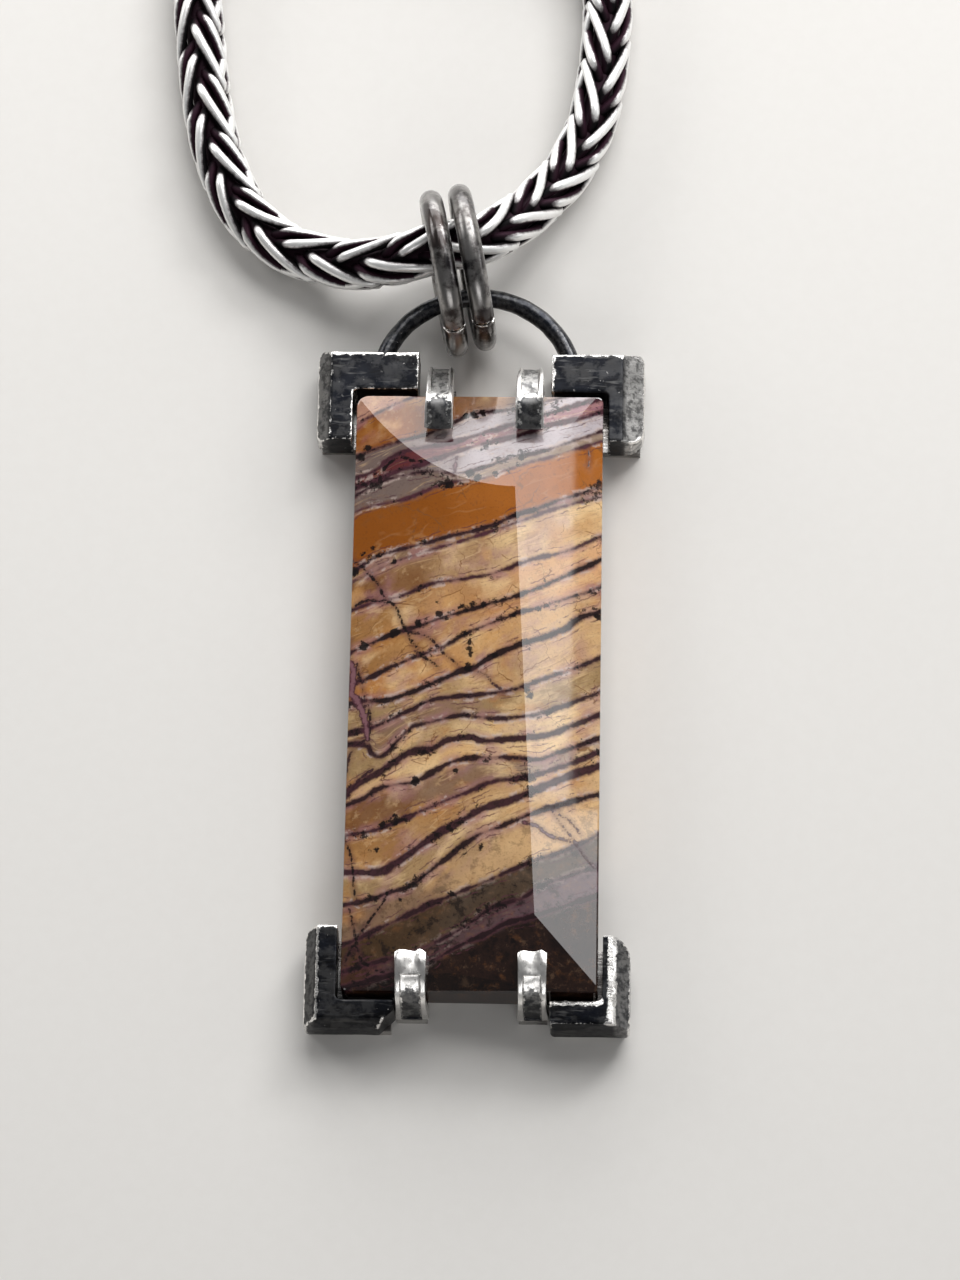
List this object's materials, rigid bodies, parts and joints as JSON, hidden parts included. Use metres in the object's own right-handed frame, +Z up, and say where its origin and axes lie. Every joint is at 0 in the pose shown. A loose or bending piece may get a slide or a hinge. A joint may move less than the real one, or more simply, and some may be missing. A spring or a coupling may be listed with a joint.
{
  "type": "banded rhyolite pendant",
  "caption": "Faceted slab of banded rhyolite in a blackened silver corner and prong setting, with a wire bail, jump rings and a woven silver chain.",
  "frame": {"origin": "on the table, under the middle of the pendant with its bail and jump rings, chain left out", "axes": "+Y from the stone's lower end to its upper end and the bail, +Z up out of the stone's face, +X to the wearer's left"},
  "size_m": [0.052, 0.1396, 0.0122],
  "materials": {
    "rhyolite": "high polish, banded",
    "blackened_silver": "brushed, blackened, worn bright at the edges",
    "worn_silver": "burnished, dark in the hollows",
    "chain_silver": "polished, blackened between the wires"
  },
  "bodies": {
    "root": {"stone": "rhyolite", "back_plate": "blackened_silver", "bracket_top_left": "blackened_silver", "bracket_top_right": "blackened_silver", "bracket_bottom_left": "blackened_silver", "bracket_bottom_right": "blackened_silver", "prong_top_left": "worn_silver", "prong_top_right": "worn_silver", "prong_bottom_left": "worn_silver", "prong_bottom_right": "worn_silver", "bail": "blackened_silver", "jump_ring_left": "blackened_silver", "jump_ring_right": "blackened_silver", "chain_run": "chain_silver", "chain_coil": "chain_silver", "end_cap_eye": "chain_silver", "end_cap_hook": "chain_silver", "clasp_eye": "chain_silver", "clasp_hook": "chain_silver"}
  },
  "joints": []
}
